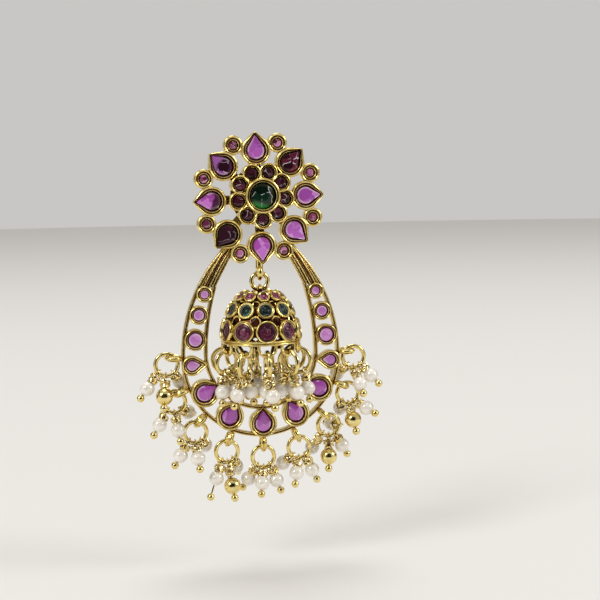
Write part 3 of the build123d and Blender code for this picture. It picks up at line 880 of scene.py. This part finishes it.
def head_pin(bm, balls, tube, tangent, centre, bead_r, tail, chance):
    """A pin looped over a ring, wrapped back round itself, and ended in a ball."""
    wire = mm(pin_sizes().pin_wire) / 2
    end_r = mm(pin_sizes().ball)
    reach = centre - tube
    along = reach.normalized()
    side = (tangent - along * tangent.dot(along)).normalized()
    up = along.cross(side)
    here = Matrix((side, up, along)).transposed().to_4x4()
    here.translation = tube
    loop_at = PIN_LOOP - wire - RING_WIRE - HANG_GAP
    wrap_from = loop_at + PIN_LOOP - wire / 2
    wrap_to = reach.length - bead_r - HANG_GAP
    ball_at = reach.length + bead_r + tail + end_r
    loop = raised(loop_at) @ Matrix.Rotation(pi / 2, 4, "Y")
    stamp(bm, here @ loop, wire_ring, PIN_LOOP, wire)
    length = max(0.5, wrap_to - wrap_from + WRAP_START)
    fine = FINE_WIRE * wire
    turns = max(2.0, min(pin_sizes().wrap_turns, length / (2.4 * fine)))
    at = raised(wrap_from - WRAP_START)
    turn = Matrix.Rotation(chance.uniform(0, pi), 4, "Z")
    stamp(bm, here @ at @ turn, coil, 3.1 * wire, fine, length, turns)
    # The cut end is wound back over the wrap, loosely and out of true
    for share, spread, lean in LOOSE_LOOPS:
        lift = raised(wrap_from + share * min(wrap_to - wrap_from, 1.5))
        tilt = Matrix.Rotation(radians(chance.uniform(-lean, lean)), 4, "X")
        turn = Matrix.Rotation(chance.uniform(0, 2 * pi), 4, "Z")
        stamp(bm, here @ turn @ lift @ tilt, coil, spread * wire, fine, 2.2 * wire, 1.2)
    stamp(bm, here, rod, wire, wrap_from, ball_at)
    stamp(balls, here, ball, end_r, ball_at)


def strands(bm, x, z, angle, radius, wire):
    """Two fine strands wound over a wire eye that stands out at an angle."""
    along = Vector((*polar(1, angle), 0)).xzy
    aside = along.cross(Vector((0, 1, 0)))
    for lean in (radians(14), radians(-14)):
        across = Vector((0, cos(lean), 0)) + sin(lean) * aside
        place = Matrix((along, across, along.cross(across))).transposed().to_4x4()
        place.translation = (x, HANG_Y, z)
        stamp(bm, place, wire_ring, radius, wire, 24, 8)


# ---- Beads on their pins, in millimetres ----

PIN_LOOP = 0.95
RING_WIRE = 0.425
HANG_GAP = 0.08
DROP_RING = 2.225
BELL_RING = 2.45
BELL_RING_PITCH = 7.5
SCALLOP_DROP = 2.1  # from the rim down to the middle of a scallop's wire at its lowest
SCALLOP_WIRE = 0.32
EYE_PITCH = 17.6
EYE_R = 1.5
EYE_STRAND = 0.27
NECK_LOOP_Z = -14.85
NECK_LOOP_R = 1.1
NECK_STRAND = 0.4
DROP_FALL = 1.34  # of a drop ring's middle under its eye's wire
DROP_ANGLES = (-181.5, -158.6, -135.7, -112.9, -90, -67.1, -44.3, -21.4, 1.5)
DROP_CENTRES = [
    Vector((*polar(EYE_PITCH + EYE_R, a), 0)).xzy + Vector((0, HANG_Y, HOOP_LOW - DROP_FALL))
    for a in DROP_ANGLES
]

# (drop, kind, place on its ring from the lowest point in degrees, right, back, up, tail)
DROP_BEADS = (
    (1, "pearl", -50, -4.0, -0.5, -4.5, 0.0),
    (1, "gold", -8, -0.8, -2.4, -5.9, 0.0),
    (1, "pearl", 38, 2.7, 2.2, -3.7, 0.0),
    (2, "pearl", -40, -3.1, -0.6, -4.4, 0.0),
    (2, "pearl", 0, 0.5, -1.6, -5.5, 0.0),
    (2, "pearl", 40, 3.0, 2.5, -2.6, 0.0),
    (3, "pearl", -40, -3.1, 0.2, -4.6, 0.0),
    (3, "pearl", -2, 0.2, -1.6, -5.0, 0.0),
    (3, "pearl", 40, 2.2, 2.6, -3.2, 0.0),
    (4, "pearl", -30, -2.3, -0.4, -5.3, 1.6),
    (4, "gold", 4, 0.9, -0.6, -7.0, 0.0),
    (4, "pearl", 40, 2.2, 2.4, -3.7, 0.0),
    (5, "pearl", -38, -3.0, 1.1, -4.6, 0.0),
    (5, "pearl", -2, -0.6, -1.5, -5.1, 0.0),
    (5, "pearl", 36, 2.6, -0.1, -5.0, 0.0),
    (6, "pearl", -40, -3.0, 2.1, -3.5, 0.0),
    (6, "pearl", -5, -0.8, -0.9, -5.1, 0.0),
    (6, "pearl", 34, 2.7, 0.2, -4.9, 0.0),
    (7, "pearl", -38, -3.0, 2.4, -4.9, 0.0),
    (7, "gold", 0, -0.2, -0.6, -6.4, 0.0),
    (7, "pearl", 36, 2.9, 0.6, -4.5, 0.0),
    (7, "pearl", 88, 1.3, 3.0, -0.3, 0.0),
    (8, "pearl", 42, 3.4, -2.2, -2.9, 0.0),
    (8, "gold", 6, 0.9, -0.7, -5.4, 0.0),
    (8, "pearl", -38, -1.0, 2.6, -3.4, 0.0),
    (9, "pearl", 42, 3.3, -1.6, -3.8, 0.0),
    (9, "pearl", 2, 0.7, -2.5, -5.3, 0.0),
    (9, "pearl", -40, -2.8, 3.0, -3.7, 0.0),
)

# (column, place on its ring in degrees outward, out, round towards the front, height)
BELL_BEADS = (
    (0, 20, 9.0, -0.6, -38.6),
    (0, -22, 5.9, 0.0, -38.1),
    (36, 20, 8.8, -1.0, -38.4),
    (36, -25, 5.6, 0.4, -38.0),
    (72, 32, 9.5, 1.4, -38.0),
    (72, -12, 6.2, 0.9, -37.9),
    (108, -4, 6.5, -1.6, -37.7),
    (108, -28, 4.0, 0.5, -37.9),
    (144, 18, 8.6, 0.2, -38.2),
    (144, -22, 5.4, -0.5, -38.0),
    (180, 20, 8.9, 1.0, -38.2),
    (180, -25, 5.9, 0.0, -38.3),
)


def mm(metres):
    return metres / MM


def pin_sizes():
    return bpy.context.scene.earring_sizes


def drop_pins():
    """Where each pin of the hoop's drops starts, how it lies, and its bead."""
    for drop, kind, at, right, back, up, tail in DROP_BEADS:
        centre = DROP_CENTRES[drop - 1]
        across, down = sin(radians(at)), cos(radians(at))
        tube = centre + DROP_RING * Vector((across, 0, -down))
        radius = mm(pin_sizes().pearl if kind == "pearl" else pin_sizes().gold_bead)
        yield tube, Vector((down, 0, across)), centre + Vector((right, back, up)), radius, tail


def bell_pins():
    """The same for the pins under the bell, mirrored from right to left."""
    ring_z = RIM_Z - SCALLOP_DROP - (BELL_RING - RING_WIRE - SCALLOP_WIRE - HANG_GAP)
    for column, at, out, forward, z in BELL_BEADS:
        for hand in (1,) if column in (0, 180) else (1, -1):
            turn = radians(column)
            away = Vector((hand * sin(turn), -cos(turn), 0))
            ahead = Vector((-hand * cos(turn), -sin(turn), 0))
            lean, down = sin(radians(at)), cos(radians(at))
            axis = Vector((0, HANG_Y, 0))
            level = Vector((0, 0, ring_z - BELL_RING * down))
            tube = axis + away * (BELL_RING_PITCH + BELL_RING * lean) + level
            tangent = away * down + Vector((0, 0, lean))
            centre = axis + away * out + ahead * forward + Vector((0, 0, z))
            yield tube, tangent, centre, mm(pin_sizes().pearl), 0.0


# ---- Rails, ribs and rims ----

SIDE_STEPS = 28
END_HIDE = 0.01  # radians by which the lower wire's ends lie inside the side wires


def sweep(bm, start, centre, wire, turned, angle, steps):
    """A round wire swept about an upright axis, from a start turned a little about it."""
    geom = wire_end(bm, start, wire, 10, True)
    turn = Matrix.Rotation(turned, 3, "Z")
    bmesh.ops.rotate(bm, cent=centre, matrix=turn, verts=verts_of(geom))
    spun(bm, geom, centre, angle, steps)


def hoop_wire(bm, half_width, side_arc, low, wire, height, bottom, top, whole):
    """A round wire along a hoop edge: up both sides between two heights, and round below."""
    start = asin(max(0.0, (bottom - low) / side_arc))
    end = asin((top - low) / side_arc)
    for side in (-1, 1):
        place = (side * half_width, low, height)
        centre = (side * (half_width - side_arc), low, height)
        sweep(bm, place, centre, wire, side * start, side * (end - start), SIDE_STEPS)
    if whole:
        place, centre = (half_width, low, height), (0, low, height)
        sweep(bm, place, centre, wire, END_HIDE, -pi - 2 * END_HIDE, 2 * SIDE_STEPS)


# Wires along the rails: inset, radius, and whether bright or stained
RAIL_WIRES = ((0.15, 0.18, True), (0.6, 0.18, True), (0.375, 0.2, False))

# Wires along the arms: share of the way in, radius, height, and whether bright or stained
ARM_WIRES = (
    (0.16, 0.26, 0.82, False),
    (0.25, 0.13, 1.15, True),
    (0.36, 0.36, 1.22, False),
    (0.34, 0.14, 1.58, True),
    (0.5, 0.3, 0.8, False),
    (0.5, 0.13, 1.15, True),
    (0.64, 0.36, 1.22, False),
    (0.66, 0.14, 1.58, True),
    (0.75, 0.13, 1.15, True),
    (0.84, 0.26, 0.82, False),
)


# ---- Operators ----


class EARRING_OT_finishes(bpy.types.Operator):
    """Gives the rosette, hoop, bell, rings, gold beads, pins, post and pearls their finishes"""

    bl_idname = "earring.finishes"
    bl_label = "Finish the frame"

    def execute(self, context):
        table = {
            "antique gold": ("rosette_and_hoop",),
            "bright gold": ("jump_ring", "drop_ring", "bell_ring", "drop_gold_beads"),
            "pin wire": ("drop_pins", "bell_pins"),
            "post steel": ("ear_post",),
            "pearl": ("drop_pearls", "bell_pearls"),
        }
        for name, starts in table.items():
            for node in nodes_named(*starts):
                repaint(node, name)
        repaint("bell", "bell gold")
        return {"FINISHED"}


class EARRING_OT_setting_lips(bpy.types.Operator):
    """Rolls the edges of the front's settings"""

    bl_idname = "earring.setting_lips"
    bl_label = "Roll the setting edges"

    def execute(self, context):
        # stain gathers the dark bands laid in the grooves: painted shade
        stain = bmesh.new()
        for name, size, depth, height, places, *_ in SETTINGS:
            loop_kind = pear_loop if len(size) > 1 else round_loop
            low, high = height - 0.6, height + 0.06
            bm = bmesh.new()
            grooved_lips(bm, stain, places, depth, height, low, high, loop_kind, *size)
            finish_piece(f"{name}_lips", bm, "antique gold", TOP)
        finish_piece("setting_grooves", stain, "groove shade", TOP)
        return {"FINISHED"}


class EARRING_OT_front_stones(bpy.types.Operator):
    """Cuts the glass of the rosette and of the hoop"""

    bl_idname = "earring.front_stones"
    bl_label = "Cut the front's glass"

    def execute(self, context):
        for name, size, depth, height, places, nodes, finishes, slot in SETTINGS:
            groups = [[place] for place in places] if len(finishes) > 1 else [places]
            for number, (group, kind) in enumerate(zip(groups, finishes), 1):
                bm = bmesh.new()
                if name in ("centre", "petal", "rosette_round"):
                    domed_stone(bm, depth + 0.1, 1.0, height - 0.04, 0.3 * (size[0] - depth), *size)
                else:
                    loop_kind = pear_loop if len(size) > 1 else round_loop
                    flat_stone(bm, depth + 0.08, height, loop_kind, *size)
                placed(bm, group)
                label = f"{name}_glass_{number}" if len(groups) > 1 else f"{name}_glass"
                replaced = (nodes[number - 1],) if nodes else ()
                finish_piece(label, bm, kind, TOP, slot, replaced)
        return {"FINISHED"}


class EARRING_OT_hoop_wires(bpy.types.Operator):
    """Lays the twin wires of the hoop's rails, the fine wires of its arms and its eyes' strands"""

    bl_idname = "earring.hoop_wires"
    bl_label = "Lay the rail, arm and eye wires"

    def execute(self, context):
        bm, stain = bmesh.new(), bmesh.new()
        rails = (
            (HOOP_OUTER, -1, HOOP_OUTER[2], ARM_TOP, True),
            (HOOP_INNER, 1, HOOP_INNER[2], ARM_BOTTOM, True),
            (ARM_INNER, 1, ARM_BOTTOM, ARM_TOP, False),
        )
        for (half_width, side_arc, low), way, bottom, top, whole in rails:
            for inset, wire, bright in RAIL_WIRES:
                grow = way * inset
                edge = (half_width + grow, side_arc + grow, low)
                metal = bm if bright else stain
                hoop_wire(metal, *edge, wire, RAIL_TOP, bottom, top, whole)
        for share, wire, height, bright in ARM_WIRES:
            edge = [a + share * (b - a) for a, b in zip(HOOP_OUTER, ARM_INNER)]
            metal = bm if bright else stain
            hoop_wire(metal, *edge, wire, height, ARM_BOTTOM, ARM_TOP, False)
        placed(bm, [FACE])
        placed(stain, [FACE])
        finish_piece("hoop_wires", bm, "antique gold", TOP)
        finish_piece("hoop_grooves", stain, "stained gold", TOP)
        bm = bmesh.new()
        for angle in DROP_ANGLES:
            x, z = polar(EYE_PITCH, angle)
            strands(bm, x, z + HOOP_LOW, angle, EYE_R, EYE_STRAND)
        strands(bm, 0.0, NECK_LOOP_Z, -90, NECK_LOOP_R, NECK_STRAND)
        finish_piece("eye_strands", bm, "bright gold", TOP)
        return {"FINISHED"}


class EARRING_OT_bell_settings(bpy.types.Operator):
    """Rolls the edges of the bell's settings and cuts their glass"""

    bl_idname = "earring.bell_settings"
    bl_label = "Finish the bell's settings"

    def execute(self, context):
        # stain gathers the dark bands laid in the lower row's grooves: painted shade
        stain = bmesh.new()
        for row, (rise, collet_r, rim, kind, slot) in BELL_ROWS.items():
            places = [on_bell(rise, turn) for turn in COLUMNS]
            bm = bmesh.new()
            if row == "lower":
                grooved_lips(bm, stain, places, rim, 0.48, 0.2, 0.62, round_loop, collet_r, 32)
            else:
                band(bm, 0.0, rim, 0.3, 0.7, round_loop, collet_r, 32)
                placed(bm, places)
            finish_piece(f"bell_{row}_lips", bm, "antique gold", BELL)
            bm = bmesh.new()
            ringed_stone(bm, rim + 0.02, -0.2, 0.64, collet_r)
            placed(bm, places)
            finish_piece(f"bell_{row}_glass", bm, kind, BELL, slot, (f"bell_{row}_stones",))
        finish_piece("bell_grooves", stain, "groove shade", BELL)
        return {"FINISHED"}


class EARRING_OT_bell_lattice(bpy.types.Operator):
    """Lays wire round the bell's windows and between its settings"""

    bl_idname = "earring.bell_lattice"
    bl_label = "Lay the bell's lattice"

    def execute(self, context):
        bm = bmesh.new()
        for rise, width, height in BELL_WINDOWS:
            for column in COLUMNS:
                ring = Matrix.Diagonal((width / 2 + 0.1, height / 2 + 0.1, 1, 1))
                place = on_bell(rise, column + 18) @ raised(0.08)
                stamp(bm, place @ ring, wire_ring, 1.0, LATTICE_WIRE, 24)
        finish_piece("bell_lattice", bm, "antique gold", BELL)
        return {"FINISHED"}


class EARRING_OT_head_pins(bpy.types.Operator):
    """Bends and wraps the head pins of the drops and of the bell's pearls"""

    bl_idname = "earring.head_pins"
    bl_label = "Wrap the head pins"

    def execute(self, context):
        chance = random.Random(7)
        for node, body, pins in (("drop_pins", TOP, drop_pins()), ("bell_pins", BELL, bell_pins())):
            bm, balls = bmesh.new(), bmesh.new()
            for pin in pins:
                head_pin(bm, balls, *pin, chance)
            finish_piece(f"{node}_wrapped", bm, "pin wire", body, "pin_wire", (node,))
            finish_piece(f"{node}_balls", balls, "bright gold", body, "bright_gold")
        return {"FINISHED"}


# (name, place, side, power)
SOFTBOXES = (
    ("softbox_left", (-1.1, -0.8, 1.0), 0.55, 10.0),
    ("softbox_right", (1.2, -0.5, 0.7), 0.5, 6.0),
    ("softbox_top", (0.0, 0.3, 1.4), 0.6, 6.0),
)
LIGHT_AIM = (0, 0, -0.024)
TENT_STRENGTH = 0.66

# Dark cards that only reflections see: the tent's opening and a flag at each side
OPENING = (0.42, 0.42)
FLAG = (0.16, 0.5)
FLAGS = (("flag_left", (-0.24, 0.12, -0.02)), ("flag_right", (0.3, 0.1, -0.02)))
FLAG_AIM = (0, 0, -0.02)


def turned_to(place, aim, front):
    """A place whose front axis looks at a point."""
    way = (Vector(aim) - Vector(place)).to_track_quat(front, "Y")
    return Matrix.Translation(place) @ way.to_matrix().to_4x4()


def linked(name, data, place):
    """An object of some data, in the scene at its place."""
    made = bpy.data.objects.new(name, data)
    bpy.context.scene.collection.objects.link(made)
    made.matrix_world = place
    return made


class EARRING_OT_stage(bpy.types.Operator):
    """Lays the floor, hangs the soft light and sets up the camera"""

    bl_idname = "earring.stage"
    bl_label = "Set the stage"

    def execute(self, context):
        scene = context.scene
        stage = scene.earring_stage
        bm = bmesh.new()
        bmesh.ops.create_circle(bm, cap_ends=True, radius=stage.floor_radius, segments=96)
        low = cad_low.z - stage.floor_drop
        bmesh.ops.translate(bm, vec=(0, 0, low), verts=bm.verts)
        paint = {"Base Color": rgb("E0DEDA"), "Roughness": 0.7}
        board = new_material("painted board, matt pale", **paint)[0]
        new_object("floor", bm, board)

        world = bpy.data.worlds.new("light tent")
        world.use_nodes = True
        backdrop = world.node_tree.nodes["Background"].inputs
        backdrop["Color"].default_value = rgb("F1EFEC")
        backdrop["Strength"].default_value = TENT_STRENGTH
        scene.world = world
        for name, place, side, power in SOFTBOXES:
            lamp = bpy.data.lights.new(name, "AREA")
            lamp.size, lamp.energy = side, power
            linked(name, lamp, turned_to(place, LIGHT_AIM, "-Z")).visible_camera = False

        optics = bpy.data.cameras.new("camera")
        optics.sensor_width = 36.0
        optics.angle = stage.field
        optics.clip_start, optics.clip_end = 0.01, 10.0
        roll = Matrix.Rotation(stage.camera_roll, 4, "Z")
        eye = turned_to(stage.camera_place, stage.camera_aim, "-Z") @ roll
        scene.camera = linked("camera", optics, eye)

        dye = {"Base Color": rgb("0E0C0A"), "Roughness": 1.0}
        cloth = new_material("black cloth, matt", **dye)[0]
        cards = [("tent_opening", eye, *OPENING)]
        cards += [(name, turned_to(place, FLAG_AIM, "Z"), *FLAG) for name, place in FLAGS]
        for name, place, width, height in cards:
            bm = bmesh.new()
            bmesh.ops.create_grid(bm, x_segments=1, y_segments=1, size=0.5)
            bmesh.ops.scale(bm, vec=(width, height, 1), verts=bm.verts)
            bmesh.ops.transform(bm, matrix=place, verts=bm.verts)
            card = new_object(name, bm, cloth)
            card.visible_camera = False
            card.visible_diffuse = False
            card.visible_shadow = False
        scene.view_settings.view_transform = "Standard"
        return {"FINISHED"}


# ---- Panel and registration ----

OPERATORS = (
    EARRING_OT_finishes,
    EARRING_OT_setting_lips,
    EARRING_OT_front_stones,
    EARRING_OT_hoop_wires,
    EARRING_OT_bell_settings,
    EARRING_OT_bell_lattice,
    EARRING_OT_head_pins,
    EARRING_OT_stage,
)


class EARRING_PT_panel(bpy.types.Panel):
    """Lists the earring's settings and the steps that build it"""

    bl_idname = "EARRING_PT_panel"
    bl_label = "Jhumka earring"
    bl_space_type = "VIEW_3D"
    bl_region_type = "UI"
    bl_category = "Earring"

    def draw(self, context):
        for group in GROUPS:
            settings = getattr(context.scene, group)
            box = self.layout.box()
            for name in settings.bl_rna.properties.keys():
                if name not in ("rna_type", "name"):
                    box.prop(settings, name)
        for kind in OPERATORS:
            self.layout.operator(kind.bl_idname)


GROUPS = {
    "earring_sizes": EarringSizes,
    "earring_colours": EarringColours,
    "earring_stage": EarringStage,
}
CLASSES = (*GROUPS.values(), *OPERATORS, EARRING_PT_panel)


def register():
    for kind in CLASSES:
        bpy.utils.register_class(kind)
    for name, kind in GROUPS.items():
        setattr(bpy.types.Scene, name, PointerProperty(type=kind))


def unregister():
    for name in GROUPS:
        delattr(bpy.types.Scene, name)
    for kind in reversed(CLASSES):
        bpy.utils.unregister_class(kind)


def main():
    register()
    for kind in OPERATORS:
        getattr(bpy.ops.earring, kind.bl_idname.split(".")[1])()


if __name__ == "__main__":
    main()
